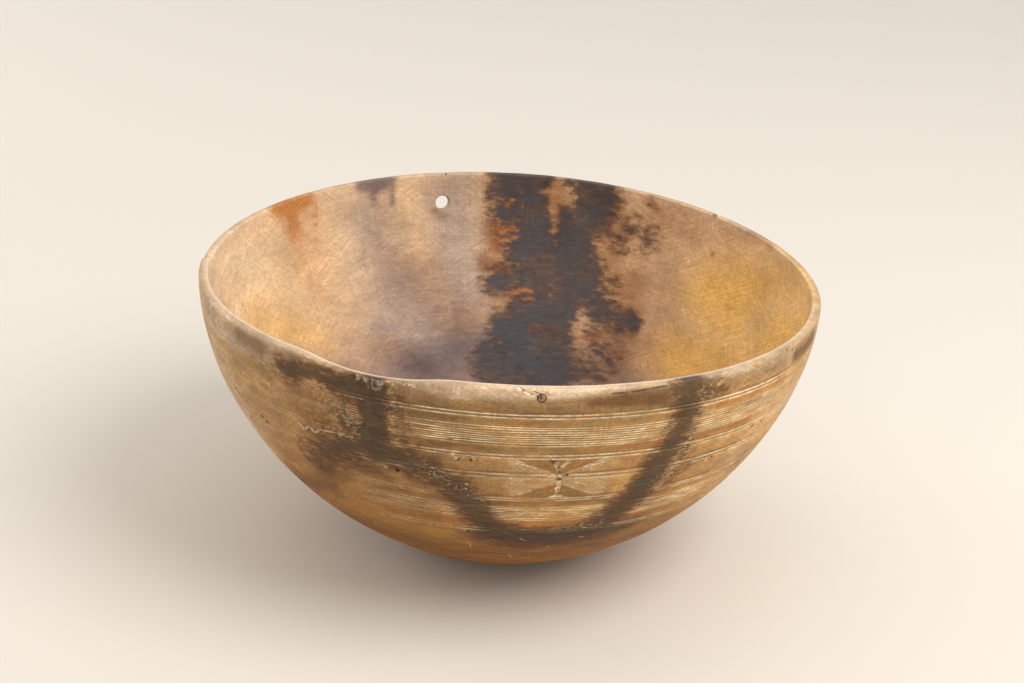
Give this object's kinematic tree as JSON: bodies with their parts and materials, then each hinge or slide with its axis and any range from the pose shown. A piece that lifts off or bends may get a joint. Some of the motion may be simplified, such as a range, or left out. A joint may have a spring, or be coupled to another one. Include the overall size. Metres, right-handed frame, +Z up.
{
  "type": "dough bowl",
  "caption": "Deep round hand-turned wooden bowl for dough, with a warped worn rim, turned line pairs outside, a hanging hole near the rim and a small plug.",
  "frame": {"origin": "middle of the flat foot, on the table", "axes": "+Z up out of the hollow, -Y towards the front with the plug and the carved cross"},
  "size_m": [0.4, 0.4, 0.1933],
  "materials": {
    "old_hardwood": "hand-turned, oiled and worn, with dark water and dough stains",
    "plug_wood": "end grain, weathered grey-brown"
  },
  "bodies": {
    "root": {"bowl_body": "old_hardwood", "rim_plug": "plug_wood"}
  },
  "joints": []
}
